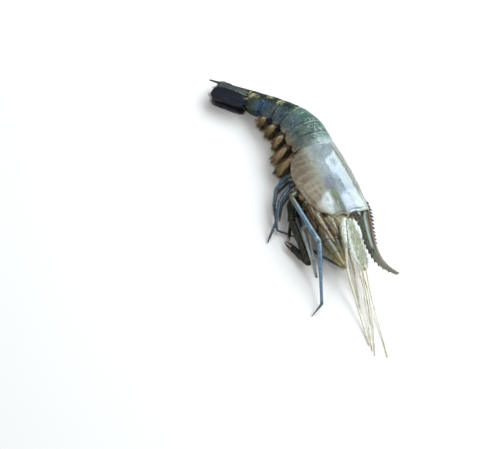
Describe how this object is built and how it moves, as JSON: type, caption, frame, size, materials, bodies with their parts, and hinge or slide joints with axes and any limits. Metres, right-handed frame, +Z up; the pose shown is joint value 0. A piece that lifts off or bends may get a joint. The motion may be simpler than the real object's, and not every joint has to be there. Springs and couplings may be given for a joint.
{
  "type": "giant river prawn",
  "caption": "Whole raw giant river prawn in its shell, lying on its left side, with a toothed rostrum, long feelers, a blue walking leg and a folded dark tail fan.",
  "frame": {"origin": "on the surface the prawn lies on, below the middle of its bounding box", "axes": "+Z up through the right flank, +Y away from the viewer and along the prawn's longest extent, head towards -Y, back towards +X"},
  "size_m": [0.1502, 0.2496, 0.0353],
  "materials": {
    "carapace_shell": "wet, translucent",
    "abdomen_shell": "wet, translucent",
    "tail_fan": "wet",
    "soft_underside": "wet",
    "eye": "wet, very shiny",
    "antennal_scale": "wet, translucent",
    "feeler": "satin",
    "mouthpart": "wet",
    "swimming_leg": "wet, translucent",
    "blue_leg": "wet",
    "pale_leg": "wet",
    "dark_leg": "wet"
  },
  "bodies": {
    "root": {"carapace": "carapace_shell", "thorax": "soft_underside", "somite_1": "abdomen_shell", "somite_2": "abdomen_shell", "somite_3": "abdomen_shell", "somite_4": "abdomen_shell", "somite_5": "abdomen_shell", "somite_6": "abdomen_shell", "telson": "tail_fan", "eye_right": "eye", "antenna_right": "feeler", "antennule_right": "feeler", "antennal_scale_right": "antennal_scale", "maxilliped_right": "mouthpart", "tail_blade_outer_right": "tail_fan", "tail_blade_inner_right": "tail_fan", "pleopod_right_1": "swimming_leg", "pleopod_right_2": "swimming_leg", "pleopod_right_3": "swimming_leg", "pleopod_right_4": "swimming_leg", "pleopod_right_5": "swimming_leg", "leg_right_1": "pale_leg", "leg_right_2": "dark_leg", "leg_right_3": "blue_leg", "leg_right_4": "dark_leg", "leg_right_5": "dark_leg", "eye_left": "eye", "antenna_left": "feeler", "antennule_left": "feeler", "antennal_scale_left": "antennal_scale", "maxilliped_left": "mouthpart", "tail_blade_outer_left": "tail_fan", "tail_blade_inner_left": "tail_fan", "pleopod_left_1": "swimming_leg", "pleopod_left_2": "swimming_leg", "pleopod_left_3": "swimming_leg", "pleopod_left_4": "swimming_leg", "pleopod_left_5": "swimming_leg", "leg_left_1": "pale_leg", "leg_left_2": "dark_leg", "leg_left_3": "dark_leg", "leg_left_4": "dark_leg", "leg_left_5": "dark_leg"}
  },
  "joints": []
}
